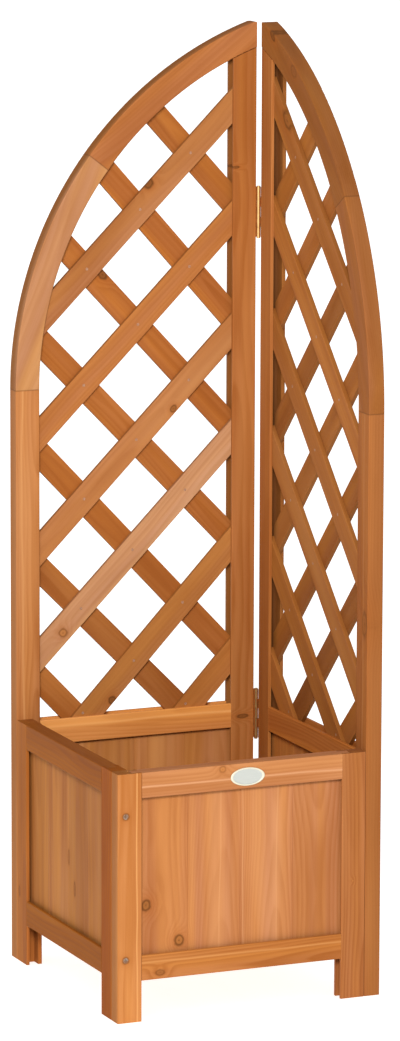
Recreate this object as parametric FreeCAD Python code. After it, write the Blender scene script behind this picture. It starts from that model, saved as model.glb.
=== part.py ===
"""Square corner planter box whose back and right walls rise into arched trellis panels.

Four framed panels make the box: front, left, rear and wing (right). Every stile, post and
rail is the same 38 x 25 mm bar with a groove run along its inner edge. Boards and lattice
slats sit in that groove against its back lip. The rear and wing panels meet at the back
right corner on two butt hinges, so the wing can swing out when the front corner screws
are drawn.

World axes while building: X to the right along the front, Y from front to back, Z up,
with zero at the front left corner on the floor. The last step moves the origin to the
bottom centre of the whole object. Panels are built in their own frame: u along the
panel, b into its thickness from the show face, z up.
"""
import FreeCAD, Part
import math
import os

from FreeCAD import Vector

# Overall sizes, mm
WIDTH = 420.0               # left face to right face
DEPTH = 420.0               # front face to back face
HEIGHT = 1408.0             # floor to the flat tips of the two arches
BOX_TOP = 371.0             # top of the front and left panels
MID_RAIL_TOP = 367.0        # top of the rail under each lattice
ARCH_SPRING = 872.0         # where a straight outer post ends and its arch begins
LEG_GAP = 61.0              # floor to the underside of the bottom rails

# The one bar that all frame members are cut from
MEMBER_WIDTH = 38.0
MEMBER_THICK = 25.0
EDGE_EASE = 1.6             # radius on the long edges
FRONT_LIP = 4.5             # wood left between the show face and a groove
GROOVE_WIDTH = 14.0
STILE_GROOVE = 16.0         # groove depth in stiles, posts and arches
RAIL_GROOVE = 10.0          # groove depth in rails
HOUSING = 8.0               # how far boards and slats reach into a groove
TENON_PLAY = 0.2            # groove width less tenon thickness
TENON_LENGTH = 14.0         # stub tenon on each rail end
ARCH_TIP_FLAT = 6.0         # level cut at the tip of each arch
REAR_JOINT_ANGLE = 142.2    # degrees about the arch centre, where two arch segments meet
WING_JOINT_ANGLE = 147.0

# Boards that fill the box walls
BOARD_THICK = 9.5
BOARD_COUNT = 4             # per wall
BOARD_TONGUE = 4.0          # tongue length between neighbours
TONGUE_THICK = 3.0
TONGUE_PLAY = 0.2
BOARD_CHAMFER = 0.5         # broken edge where two boards meet

# Lattice: rising slats lie in front, falling slats behind, both held in the panel's groove.
# Every slat was nailed on by eye, so each has its own tilt and strays a little from even spacing.
SLAT_WIDTH = 37.4
SLAT_THICK = 6.9
SLAT_EASE = 0.6
REAR_RISING_START = 274.9   # height of the lowest rising centre line at the panel's middle
REAR_RISING_PITCH = 170.6   # vertical spacing of rising slats
REAR_RISING_TILTS = (47.2, 46.4, 45.0, 45.0, 44.8, 44.8)     # degrees
REAR_RISING_STRAYS = (-5.0, 3.0, 6.0, -2.5, -0.4, -1.1)      # up from even spacing
REAR_FALLING_START = 266.8
REAR_FALLING_PITCH = 174.4
REAR_FALLING_TILTS = (46.5, 45.3, 46.6, 45.8, 46.9, 48.3, 47.5)
REAR_FALLING_STRAYS = (1.0, 2.5, -3.2, -3.0, 0.0, 3.3, -0.5)
WING_RISING_START = 263.1
WING_RISING_PITCH = 174.0
WING_RISING_TILTS = (45.2, 45.1, 45.2, 45.5, 45.2, 45.2)
WING_RISING_STRAYS = (1.9, 0.9, -3.6, -0.6, -1.7, 3.0)
WING_FALLING_START = 285.2
WING_FALLING_PITCH = 169.1
WING_FALLING_TILTS = (43.5, 46.0, 46.0, 46.3, 45.7, 46.0, 45.6)
WING_FALLING_STRAYS = (0.3, -0.4, 0.5, 0.0, -1.5, 1.7, -0.8)
NAIL_SHANK_R = 0.9
NAIL_HEAD_R = 2.2
NAIL_HEAD_THICK = 0.6
NAIL_LENGTH = 13.2
NAIL_PLAY = 0.05
NAIL_EDGE = 5.0             # least distance from a nail to the frame around the lattice

# Hinged corner
PANEL_GAP = 5.0             # space between the two hinge posts, along X and along Y
LEAF_THICK = 1.5
LEAF_WIDTH = 22.0
HINGE_HEIGHT = 76.0
HINGE_CENTRES = (349.0, 1122.0)
KNUCKLE_R = 3.2
KNUCKLE_COUNT = 5
KNUCKLE_GAP = 0.3           # between neighbouring knuckles
KNUCKLE_CLEAR = 0.4         # notch in a leaf round the other leaf's knuckles
PIN_R = 1.75
PIN_PLAY = 0.05             # radial clearance in the wing leaf's knuckles
PIN_HEAD_R = 2.8
PIN_HEAD_THICK = 1.6
HINGE_SCREW_SPACING = 25.0
HINGE_SCREW_STAGGER = 4.0
HINGE_SCREW_R = 1.6
HINGE_SCREW_HEAD_R = 3.1
HINGE_SCREW_LENGTH = 16.0

# Screws that draw the four panels together, two to a corner
CORNER_SCREW_HEIGHTS = (94.0, 308.0)
CORNER_SCREW_R = 2.0
CORNER_SCREW_HEAD_R = 4.0
CORNER_SCREW_LENGTH = 38.0
SCREW_PLAY = 0.05
SWING_PLAY = 0.8            # radial room for the wing's screws in the front stile
WING_STOP_GAP = 0.3         # front panel's end to the wing's front post
SCREW_TIP_LENGTH = 4.0      # point of a corner or cleat screw
SCREW_TIP_R = 0.4           # blunt end of a screw's point
RECESS_WIDTH = 0.7          # drive recess: width of each arm
RECESS_INSET = 1.5          # wood screw head's rim to the end of an arm
RECESS_DEPTH = 1.2

# Dowels in the arch joints
DOWEL_R = 3.0
DOWEL_LENGTH = 28.0
DOWEL_INSET = 11.0          # from the outer edge
DOWEL_PLAY = 0.05

# Slatted floor
CLEAT_SIZE = 15.0
CLEAT_END_GAP = 2.0
FLOOR_SLAT_COUNT = 5
FLOOR_SLAT_WIDTH = 62.0
FLOOR_SLAT_THICK = 8.0
FLOOR_END_GAP = 0.5
FLOOR_SIDE_GAP = 3.0
CLEAT_SCREW_COUNT = 3
CLEAT_SCREW_LENGTH = 25.0
FLOOR_NAIL_LENGTH = 20.0
FLOOR_NAIL_INSET = 15.5     # from a floor slat's long edge

# Blank oval badge on the front top rail
BADGE_U = 204.5
BADGE_Z = 351.0
BADGE_LENGTH = 54.0
BADGE_HEIGHT = 27.0
BADGE_THICK = 1.5
BADGE_EASE = 0.5

# Values that follow
BACK_LIP_FACE = FRONT_LIP + GROOVE_WIDTH
BAR_MIDDLE = MEMBER_THICK / 2.0
REAR_LENGTH = WIDTH - MEMBER_THICK - PANEL_GAP
WING_LENGTH = DEPTH - MEMBER_THICK - PANEL_GAP
FRONT_LENGTH = WIDTH - MEMBER_THICK - WING_STOP_GAP
LEFT_LENGTH = DEPTH - 2.0 * MEMBER_THICK
PIN_X = WIDTH - MEMBER_THICK - PANEL_GAP / 2.0
PIN_Y = DEPTH - MEMBER_THICK - PANEL_GAP / 2.0
X_AXIS = Vector(1, 0, 0)
Y_AXIS = Vector(0, 1, 0)
Z_AXIS = Vector(0, 0, 1)
ORIGIN = Vector(0, 0, 0)
OVERRUN = 1.0               # how far a cutter reaches past the face it opens
ARCH_OVERRUN = 0.05         # radians that an arch is swept past its tip before it is trimmed
ON_FACE = 0.01              # tolerance when asking whether a point lies in a shape

nodes = {}


# ---------------------------------------------------------------- small helpers
def block(low, high):
    """Box between two corners given as (u, b, z)."""
    size = [high[i] - low[i] for i in range(3)]
    return Part.makeBox(size[0], size[1], size[2], Vector(*low))


def eased(shape, axis, radius):
    """Round the straight edges of a bar that run along axis."""
    edges = [e for e in shape.Edges
             if len(e.Vertexes) == 2
             and abs((e.Vertexes[1].Point - e.Vertexes[0].Point).normalize().dot(axis)) > 0.999]
    return shape.makeFillet(radius, edges)


def rod(radius, length, start, axis):
    return Part.makeCylinder(radius, length, start, axis)


def swapped(shape):
    """Exchange X and Y, which turns a panel seen from the front into one along the side."""
    return shape.mirror(ORIGIN, Vector(1, -1, 0))


def moved(shape, x, y, z=0.0):
    copy = shape.copy()
    copy.translate(Vector(x, y, z))
    return copy


def joined(shapes):
    return Part.makeCompound(shapes) if len(shapes) > 1 else shapes[0]


# ---------------------------------------------------------------- fasteners
def countersunk_screw(start, axis, radius, head_r, length):
    """Screw whose flat head is flush with the face at start, pointing along axis."""
    head = Part.makeCone(head_r, radius, head_r - radius, start, axis)
    shank = rod(radius, length - SCREW_TIP_LENGTH, start, axis)
    tip_start = start + axis * (length - SCREW_TIP_LENGTH)
    tip = Part.makeCone(radius, SCREW_TIP_R, SCREW_TIP_LENGTH, tip_start, axis)
    screw = head.fuse([shank, tip]).removeSplitter()
    across = X_AXIS if abs(axis.dot(X_AXIS)) < 0.5 else Y_AXIS
    other = axis.cross(across)
    for arm in (across, other):
        screw = screw.cut(recess_arm(start, axis, arm, head_r))
    return screw


def recess_arm(start, axis, arm, head_r):
    """One arm of a cross recess, cut into a screw head."""
    reach = head_r - RECESS_INSET
    side = axis.cross(arm)
    corner = start - arm * reach - side * RECESS_WIDTH / 2.0
    outline = [corner,
               corner + arm * 2.0 * reach,
               corner + arm * 2.0 * reach + side * RECESS_WIDTH,
               corner + side * RECESS_WIDTH,
               corner]
    return Part.Face(Part.makePolygon(outline)).extrude(axis * RECESS_DEPTH)


def screw_hole(start, axis, radius, head_r, length, play):
    """Room for a countersunk screw, opened a little past the face."""
    head = Part.makeCone(head_r + play, radius + play, head_r - radius, start, axis)
    shank = rod(radius + play, length + play, start, axis)
    return head.fuse(shank)


def nail(start, axis, length):
    """Flat headed nail, head flush with the face at start."""
    head = rod(NAIL_HEAD_R, NAIL_HEAD_THICK, start, axis)
    shank = rod(NAIL_SHANK_R, length, start, axis)
    return head.fuse(shank).removeSplitter()


def nail_hole(start, axis, length):
    head = rod(NAIL_HEAD_R + NAIL_PLAY, NAIL_HEAD_THICK, start, axis)
    shank = rod(NAIL_SHANK_R + NAIL_PLAY, length + NAIL_PLAY, start, axis)
    return head.fuse(shank)


# ---------------------------------------------------------------- frame members
def stile(u0, z1, groove_side):
    """Upright from the floor to z1, grooved along its left (-1) or right (+1) edge."""
    u1 = u0 + MEMBER_WIDTH
    bar = eased(block((u0, 0, 0), (u1, MEMBER_THICK, z1)), Z_AXIS, EDGE_EASE)
    edge = u1 if groove_side > 0 else u0
    low = min(edge - groove_side * STILE_GROOVE, edge + groove_side * OVERRUN)
    high = max(edge - groove_side * STILE_GROOVE, edge + groove_side * OVERRUN)
    cutter = block((low, FRONT_LIP, -OVERRUN), (high, BACK_LIP_FACE, z1 + OVERRUN))
    return bar.cut(cutter)


def rail(length, z0, grooves):
    """Cross bar between two stiles with stub tenons; grooves holds -1 (under), +1 (over)."""
    u0 = MEMBER_WIDTH
    u1 = length - MEMBER_WIDTH
    z1 = z0 + MEMBER_WIDTH
    bar = eased(block((u0, 0, z0), (u1, MEMBER_THICK, z1)), X_AXIS, EDGE_EASE)
    half_play = TENON_PLAY / 2.0
    tenon = block((u0 - TENON_LENGTH, FRONT_LIP + half_play, z0),
                  (u1 + TENON_LENGTH, BACK_LIP_FACE - half_play, z1))
    bar = bar.fuse(tenon).removeSplitter()
    for side in grooves:
        edge = z1 if side > 0 else z0
        low = min(edge - side * RAIL_GROOVE, edge + side * OVERRUN)
        high = max(edge - side * RAIL_GROOVE, edge + side * OVERRUN)
        bar = bar.cut(block((0, FRONT_LIP, low), (length, BACK_LIP_FACE, high)))
    return bar


def boards(length, z0, z1):
    """Tongued boards filling a frame whose opening runs from z0 to z1."""
    u0 = MEMBER_WIDTH - HOUSING
    u1 = length - MEMBER_WIDTH + HOUSING
    step = (u1 - u0) / BOARD_COUNT
    face = BACK_LIP_FACE - BOARD_THICK
    middle = face + BOARD_THICK / 2.0
    pieces = []
    for i in range(BOARD_COUNT):
        left = u0 + i * step
        right = left + step
        board = block((left, face, z0 - HOUSING), (right, BACK_LIP_FACE, z1 + HOUSING))
        if i < BOARD_COUNT - 1:
            board = board.fuse(tongue(right, middle, z0, z1, 0.0))
            board = board.cut(broken_edge(right, face, z0, z1))
        if i > 0:
            board = board.cut(tongue(left, middle, z0, z1, TONGUE_PLAY))
            board = board.cut(broken_edge(left, face, z0, z1))
        pieces.append(board.removeSplitter())
    return joined(pieces)


def tongue(u, middle, z0, z1, play):
    """Tongue past the joint at u, or with play the groove that takes it."""
    half = TONGUE_THICK / 2.0 + play
    low = (u - (OVERRUN if play else 0.0), middle - half, z0 - HOUSING - play)
    high = (u + BOARD_TONGUE + play, middle + half, z1 + HOUSING + play)
    return block(low, high)


def broken_edge(u, face, z0, z1):
    """Small vee that breaks the show edges where two boards meet."""
    outline = [Vector(u - BOARD_CHAMFER, face, z0 - HOUSING),
               Vector(u, face + BOARD_CHAMFER, z0 - HOUSING),
               Vector(u + BOARD_CHAMFER, face, z0 - HOUSING),
               Vector(u - BOARD_CHAMFER, face, z0 - HOUSING)]
    return Part.Face(Part.makePolygon(outline)).extrude(Z_AXIS * (z1 - z0 + 2.0 * HOUSING))


def box_panel(length):
    """The frame and boards of a low wall, as a dict of named shapes."""
    board_low = LEG_GAP + MEMBER_WIDTH
    board_high = BOX_TOP - MEMBER_WIDTH
    return {
        "first_stile": stile(0.0, BOX_TOP, +1),
        "last_stile": stile(length - MEMBER_WIDTH, BOX_TOP, -1),
        "top_rail": rail(length, board_high, (-1,)),
        "bottom_rail": rail(length, LEG_GAP, (+1,)),
        "boards": boards(length, board_low, board_high),
    }


# ---------------------------------------------------------------- trellis panels
def arch_radius(length):
    """Circle that leaves the post upright at the spring and reaches the tip flat."""
    run = length - ARCH_TIP_FLAT
    rise = HEIGHT - ARCH_SPRING
    return (run * run + rise * rise) / (2.0 * run)


def arc_height(u, radius, outer):
    """Height at u of a circle of this radius about the arch centre of that outer radius."""
    return ARCH_SPRING + math.sqrt(radius * radius - (outer - u) ** 2)


def ring_sector(outer, inner, wide, b0, b1, angle0, angle1):
    """Part of a ring about (wide, ARCH_SPRING) between two angles, b0 to b1 thick."""
    centre = Vector(wide, b0, ARCH_SPRING)

    def point(radius, angle):
        return centre + Vector(radius * math.cos(angle), 0, radius * math.sin(angle))

    middle = (angle0 + angle1) / 2.0
    edges = [Part.Arc(point(outer, angle0), point(outer, middle), point(outer, angle1)).toShape(),
             Part.makeLine(point(outer, angle1), point(inner, angle1)),
             Part.Arc(point(inner, angle1), point(inner, middle), point(inner, angle0)).toShape(),
             Part.makeLine(point(inner, angle0), point(outer, angle0))]
    return Part.Face(Part.Wire(edges)).extrude(Vector(0, b1 - b0, 0))


def ease_arcs(shape, radius):
    arcs = [e for e in shape.Edges if isinstance(e.Curve, Part.Circle)]
    return shape.makeFillet(radius, arcs)


def arch_segment(length, angle0, angle1):
    """Curved member between two angles, eased, grooved and trimmed to the panel's end."""
    radius = arch_radius(length)
    inner = radius - MEMBER_WIDTH
    ring = ring_sector(radius, inner, radius, 0.0, MEMBER_THICK, angle0, angle1)
    ring = ease_arcs(ring, EDGE_EASE)
    trim = block((-OVERRUN, -OVERRUN, 0), (length, MEMBER_THICK + OVERRUN, HEIGHT))
    groove = ring_sector(inner + STILE_GROOVE, inner - OVERRUN, radius,
                         FRONT_LIP, BACK_LIP_FACE, angle0, angle1)
    groove_end = length - MEMBER_WIDTH + STILE_GROOVE
    groove = groove.common(block((-OVERRUN, 0, 0), (groove_end, MEMBER_THICK, HEIGHT)))
    return ring.common(trim).cut(groove)


def hinge_post(length):
    """Upright on the hinge side, its top sawn to the underside of the arch."""
    post = stile(length - MEMBER_WIDTH, HEIGHT, -1)
    inner = arch_radius(length) - MEMBER_WIDTH
    under_arch = rod(inner, MEMBER_THICK + 2 * OVERRUN,
                     Vector(arch_radius(length), -OVERRUN, ARCH_SPRING), Y_AXIS)
    below = block((0, -OVERRUN, -OVERRUN), (length, MEMBER_THICK + OVERRUN, ARCH_SPRING))
    return post.common(under_arch.fuse(below))


def dowel_places(length, joint_angle, tip_angle):
    """Middle and direction of the dowel in each of the three arch joints."""
    radius = arch_radius(length)
    line = radius - DOWEL_INSET
    places = [(Vector(DOWEL_INSET, BAR_MIDDLE, ARCH_SPRING), Z_AXIS)]
    place = Vector(radius + line * math.cos(joint_angle), BAR_MIDDLE,
                   ARCH_SPRING + line * math.sin(joint_angle))
    places.append((place, Vector(math.sin(joint_angle), 0, -math.cos(joint_angle))))
    inner = radius - MEMBER_WIDTH
    solid_side = length - (MEMBER_WIDTH - STILE_GROOVE) / 2.0
    angle = math.acos((solid_side - radius) / inner)
    place = Vector(solid_side, BAR_MIDDLE, ARCH_SPRING + inner * math.sin(angle))
    places.append((place, Vector(math.cos(angle), 0, math.sin(angle))))
    return places


def dowel(place, direction, play):
    length = DOWEL_LENGTH + 2 * play
    return rod(DOWEL_R + play, length, place - direction * length / 2.0, direction)


def lattice_region(length, grow):
    """Space inside the frame above the mid rail, grown into the grooves, as a thick plate."""
    radius = arch_radius(length)
    inner = radius - MEMBER_WIDTH + grow
    u0 = MEMBER_WIDTH - grow
    u1 = length - MEMBER_WIDTH + grow
    z0 = MID_RAIL_TOP - grow
    start = Vector(u0, 0, ARCH_SPRING)
    end = Vector(u1, 0, arc_height(u1, inner, radius))
    half_u = (u0 + u1) / 2.0
    half = Vector(half_u, 0, arc_height(half_u, inner, radius))
    edges = [Part.Arc(start, half, end).toShape(),
             Part.makeLine(end, Vector(u1, 0, z0)),
             Part.makeLine(Vector(u1, 0, z0), Vector(u0, 0, z0)),
             Part.makeLine(Vector(u0, 0, z0), start)]
    return Part.Face(Part.Wire(edges)).extrude(Vector(0, MEMBER_THICK, 0))


def centre_lines(start, pitch, tilts, strays, direction):
    """Height at the panel's middle and signed slope of each slat, rising (+1) or falling (-1)."""
    return [(start + i * pitch + stray, direction * math.tan(math.radians(tilt)))
            for i, (tilt, stray) in enumerate(zip(tilts, strays))]


def slat(line, middle, b0, region):
    """Diagonal slat on a centre line, given as its height at the middle and its slope."""
    height, slope = line
    reach = HEIGHT
    bar = block((-reach, b0, -SLAT_WIDTH / 2.0), (reach, b0 + SLAT_THICK, SLAT_WIDTH / 2.0))
    bar = eased(bar, X_AXIS, SLAT_EASE)
    bar.rotate(ORIGIN, Y_AXIS, -math.degrees(math.atan(slope)))
    bar.translate(Vector(middle, 0, height))
    return bar.common(region)


def nail_place(riser, faller, middle, b):
    """Where two centre lines cross, lifted clear where the crossing dips behind the rail."""
    from_middle = (faller[0] - riser[0]) / (riser[1] - faller[1])
    z = riser[0] + riser[1] * from_middle
    if abs(z - MID_RAIL_TOP) < SLAT_WIDTH / 2.0:
        z = max(z, MID_RAIL_TOP + NAIL_EDGE)
    return Vector(middle + from_middle, b, z)


def lattice(length, risers, fallers):
    """Both layers of slats and the nails at their crossings."""
    region = lattice_region(length, HOUSING)
    middle = length / 2.0
    falling_b = BACK_LIP_FACE - SLAT_THICK
    rising_b = falling_b - SLAT_THICK
    rising = [slat(line, middle, rising_b, region) for line in risers]
    falling = [slat(line, middle, falling_b, region) for line in fallers]
    clear = lattice_region(length, -NAIL_EDGE)
    crossings = [nail_place(r, f, middle, rising_b) for r in risers for f in fallers]
    crossings = [c for c in crossings if clear.isInside(c, ON_FACE, True)]
    nails = [nail(c, Y_AXIS, NAIL_LENGTH) for c in crossings]
    holes = joined([nail_hole(c, Y_AXIS, NAIL_LENGTH) for c in crossings])
    rising = [s.cut(holes) for s in rising]
    falling = [s.cut(holes) for s in falling]
    return rising, falling, nails


def trellis_panel(length, joint_degrees, risers, fallers):
    """Every piece of a tall wall, as a dict of named shapes."""
    radius = arch_radius(length)
    tip_angle = math.acos((length - radius) / radius)
    joint_angle = math.radians(joint_degrees)
    board_high = MID_RAIL_TOP - MEMBER_WIDTH
    rising, falling, nails = lattice(length, risers, fallers)
    pieces = {
        "outer_post": stile(0.0, ARCH_SPRING, +1),
        "hinge_post": hinge_post(length),
        "arch_lower": arch_segment(length, math.pi, joint_angle),
        "arch_upper": arch_segment(length, joint_angle, tip_angle - ARCH_OVERRUN),
        "mid_rail": rail(length, board_high, (-1, +1)),
        "bottom_rail": rail(length, LEG_GAP, (+1,)),
        "boards": boards(length, LEG_GAP + MEMBER_WIDTH, board_high),
        "falling_slats": joined(falling),
        "lattice_nails": joined(nails),
    }
    for i, piece in enumerate(rising):
        pieces["rising_slat_%d" % (i + 1)] = piece
    places = dowel_places(length, joint_angle, tip_angle)
    holes = joined([dowel(p, d, DOWEL_PLAY) for p, d in places])
    for name in ("outer_post", "hinge_post", "arch_lower", "arch_upper"):
        pieces[name] = pieces[name].cut(holes)
    pieces["arch_dowels"] = joined([dowel(p, d, 0.0) for p, d in places])
    return pieces


# ---------------------------------------------------------------- hinges
def knuckle_spans(parity):
    """Bottom and top, from the hinge's foot, of every second knuckle."""
    step = HINGE_HEIGHT / KNUCKLE_COUNT
    half = KNUCKLE_GAP / 2.0
    return [(i * step + half, (i + 1) * step - half)
            for i in range(KNUCKLE_COUNT) if i % 2 == parity]


def rear_leaf(foot, parity, bore_r):
    """Leaf on the rear post's end, with its own knuckles and notches for the others."""
    post_end = WIDTH - MEMBER_THICK - PANEL_GAP
    plate = block((post_end, PIN_Y, foot),
                  (post_end + LEAF_THICK, DEPTH - MEMBER_THICK + LEAF_WIDTH, foot + HINGE_HEIGHT))
    axis_foot = Vector(PIN_X, PIN_Y, foot)
    for low, high in knuckle_spans(1 - parity):
        notch = rod(KNUCKLE_R + KNUCKLE_CLEAR, high - low + 2 * KNUCKLE_GAP,
                    axis_foot + Z_AXIS * (low - KNUCKLE_GAP), Z_AXIS)
        plate = plate.cut(notch)
    barrels = [rod(KNUCKLE_R, high - low, axis_foot + Z_AXIS * low, Z_AXIS)
               for low, high in knuckle_spans(parity)]
    bore = rod(bore_r, HINGE_HEIGHT + 2 * OVERRUN, axis_foot - Z_AXIS * OVERRUN, Z_AXIS)
    leaf = plate.fuse(barrels).cut(bore)
    for place in leaf_screw_places(foot):
        leaf = leaf.cut(screw_hole(place, -X_AXIS, HINGE_SCREW_R, HINGE_SCREW_HEAD_R,
                                   HINGE_SCREW_LENGTH, SCREW_PLAY))
    return leaf


def leaf_screw_places(foot):
    """Head centres of the three screws in the rear leaf."""
    middle = DEPTH - MEMBER_THICK + LEAF_WIDTH / 2.0
    face = WIDTH - MEMBER_THICK - PANEL_GAP + LEAF_THICK
    centre = foot + HINGE_HEIGHT / 2.0
    return [Vector(face, middle + HINGE_SCREW_STAGGER * (1 if k == 0 else -1),
                   centre + k * HINGE_SCREW_SPACING) for k in (-1, 0, 1)]


def hinge_mirror(shape):
    """Reflect across the upright plane that halves the hinged corner."""
    return shape.mirror(Vector(PIN_X, PIN_Y, 0), Vector(1, -1, 0))


def hinge_pin(foot):
    """Pin with a button at each end, held by the rear leaf's knuckles."""
    shank = rod(PIN_R, HINGE_HEIGHT, Vector(PIN_X, PIN_Y, foot), Z_AXIS)
    low = rod(PIN_HEAD_R, PIN_HEAD_THICK, Vector(PIN_X, PIN_Y, foot - PIN_HEAD_THICK), Z_AXIS)
    high = rod(PIN_HEAD_R, PIN_HEAD_THICK, Vector(PIN_X, PIN_Y, foot + HINGE_HEIGHT), Z_AXIS)
    return shank.fuse([low, high]).removeSplitter()


def hinge_screws(play):
    """Screws of both rear leaves; with play, the holes for them."""
    shapes = []
    for centre in HINGE_CENTRES:
        for place in leaf_screw_places(centre - HINGE_HEIGHT / 2.0):
            if play:
                shapes.append(screw_hole(place, -X_AXIS, HINGE_SCREW_R, HINGE_SCREW_HEAD_R,
                                         HINGE_SCREW_LENGTH, play))
            else:
                shapes.append(countersunk_screw(place, -X_AXIS, HINGE_SCREW_R,
                                                HINGE_SCREW_HEAD_R, HINGE_SCREW_LENGTH))
    return joined(shapes)


# ---------------------------------------------------------------- floor
def floor_pieces():
    """Cleats on the front and rear bottom rails, slats across them and their fasteners."""
    x0 = MEMBER_THICK + CLEAT_END_GAP
    x1 = WIDTH - MEMBER_THICK - CLEAT_END_GAP
    y_front = MEMBER_THICK
    y_rear = DEPTH - MEMBER_THICK
    z1 = LEG_GAP + CLEAT_SIZE
    cleats = [block((x0, y_front, LEG_GAP), (x1, y_front + CLEAT_SIZE, z1)),
              block((x0, y_rear - CLEAT_SIZE, LEG_GAP), (x1, y_rear, z1))]
    screws = []
    holes = []
    for i in range(CLEAT_SCREW_COUNT):
        x = x0 + (x1 - x0) * (i + 0.5) / CLEAT_SCREW_COUNT
        z = LEG_GAP + CLEAT_SIZE / 2.0
        for y, axis in ((y_front + CLEAT_SIZE, -Y_AXIS), (y_rear - CLEAT_SIZE, Y_AXIS)):
            args = (Vector(x, y, z), axis, CORNER_SCREW_R, CORNER_SCREW_HEAD_R,
                    CLEAT_SCREW_LENGTH)
            screws.append(countersunk_screw(*args))
            holes.append(screw_hole(*args, SCREW_PLAY))
    first = x0 + FLOOR_SIDE_GAP
    step = (x1 - FLOOR_SIDE_GAP - FLOOR_SLAT_WIDTH - first) / (FLOOR_SLAT_COUNT - 1)
    slats = []
    nails = []
    nail_holes = []
    for i in range(FLOOR_SLAT_COUNT):
        x = first + i * step
        low = (x, y_front + FLOOR_END_GAP, z1)
        high = (x + FLOOR_SLAT_WIDTH, y_rear - FLOOR_END_GAP, z1 + FLOOR_SLAT_THICK)
        slats.append(eased(block(low, high), Y_AXIS, EDGE_EASE))
        for y in (y_front + CLEAT_SIZE / 2.0, y_rear - CLEAT_SIZE / 2.0):
            top = Vector(x + FLOOR_NAIL_INSET, y, z1 + FLOOR_SLAT_THICK)
            nails.append(nail(top, -Z_AXIS, FLOOR_NAIL_LENGTH))
            nail_holes.append(nail_hole(top, -Z_AXIS, FLOOR_NAIL_LENGTH))
    all_holes = joined(holes + nail_holes)
    cleats = [c.cut(all_holes) for c in cleats]
    slats = [s.cut(joined(nail_holes)) for s in slats]
    return cleats, slats, screws, nails, joined(holes)


# ---------------------------------------------------------------- badge
def badge():
    """Blank oval plate on the front top rail."""
    ellipse = Part.Ellipse(Vector(0, 0, 0), BADGE_LENGTH / 2.0, BADGE_HEIGHT / 2.0)
    plate = Part.Face(Part.Wire(ellipse.toShape())).extrude(Vector(0, 0, BADGE_THICK))
    front_edge = [e for e in plate.Edges if e.BoundBox.ZMin > BADGE_THICK / 2.0]
    plate = plate.makeFillet(BADGE_EASE, front_edge)
    plate.rotate(ORIGIN, X_AXIS, 90.0)
    plate.translate(Vector(BADGE_U, 0, BADGE_Z))
    return plate


# ---------------------------------------------------------------- assembly
def corner_screws(place_of, axis):
    """Two screws on one corner and the places they start from."""
    places = [place_of(z) for z in CORNER_SCREW_HEIGHTS]
    return [(p, axis, CORNER_SCREW_R, CORNER_SCREW_HEAD_R, CORNER_SCREW_LENGTH)
            for p in places]


def build():
    """Make every piece in world coordinates and fill nodes."""
    for name, piece in box_panel(FRONT_LENGTH).items():
        nodes["front_" + name] = piece
    for name, piece in box_panel(LEFT_LENGTH).items():
        nodes["left_" + name] = moved(swapped(piece), 0.0, MEMBER_THICK)
    rename("front_first_stile", "front_left_stile")
    rename("front_last_stile", "front_right_stile")
    rename("left_first_stile", "left_front_stile")
    rename("left_last_stile", "left_back_stile")

    rear_risers = centre_lines(REAR_RISING_START, REAR_RISING_PITCH,
                               REAR_RISING_TILTS, REAR_RISING_STRAYS, +1)
    rear_fallers = centre_lines(REAR_FALLING_START, REAR_FALLING_PITCH,
                                REAR_FALLING_TILTS, REAR_FALLING_STRAYS, -1)
    wing_risers = centre_lines(WING_RISING_START, WING_RISING_PITCH,
                               WING_RISING_TILTS, WING_RISING_STRAYS, +1)
    wing_fallers = centre_lines(WING_FALLING_START, WING_FALLING_PITCH,
                                WING_FALLING_TILTS, WING_FALLING_STRAYS, -1)
    for name, piece in trellis_panel(REAR_LENGTH, REAR_JOINT_ANGLE, rear_risers,
                                     rear_fallers).items():
        nodes["rear_" + name] = moved(piece, 0.0, DEPTH - MEMBER_THICK)
    for name, piece in trellis_panel(WING_LENGTH, WING_JOINT_ANGLE, wing_risers,
                                     wing_fallers).items():
        nodes["wing_" + name] = moved(swapped(piece), WIDTH - MEMBER_THICK, 0.0)

    add_hinges()
    add_corner_screws()
    cleats, slats, screws, nails, holes = floor_pieces()
    nodes["floor_front_cleat"] = cleats[0]
    nodes["floor_rear_cleat"] = cleats[1]
    nodes["floor_slats"] = joined(slats)
    nodes["floor_cleat_screws"] = joined(screws)
    nodes["floor_nails"] = joined(nails)
    for name in ("front_bottom_rail", "rear_bottom_rail"):
        nodes[name] = nodes[name].cut(holes)
    nodes["badge_plate"] = badge()


def rename(old, new):
    nodes[new] = nodes.pop(old)


def add_hinges():
    feet = [centre - HINGE_HEIGHT / 2.0 for centre in HINGE_CENTRES]
    nodes["hinge_rear_leaves"] = joined([rear_leaf(foot, 0, PIN_R) for foot in feet])
    nodes["hinge_wing_leaves"] = joined(
        [hinge_mirror(rear_leaf(foot, 1, PIN_R + PIN_PLAY)) for foot in feet])
    nodes["hinge_pins"] = joined([hinge_pin(foot) for foot in feet])
    nodes["hinge_rear_screws"] = hinge_screws(0.0)
    nodes["hinge_wing_screws"] = hinge_mirror(hinge_screws(0.0))
    holes = hinge_screws(SCREW_PLAY)
    nodes["rear_hinge_post"] = nodes["rear_hinge_post"].cut(holes)
    nodes["wing_hinge_post"] = nodes["wing_hinge_post"].cut(hinge_mirror(holes))


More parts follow.
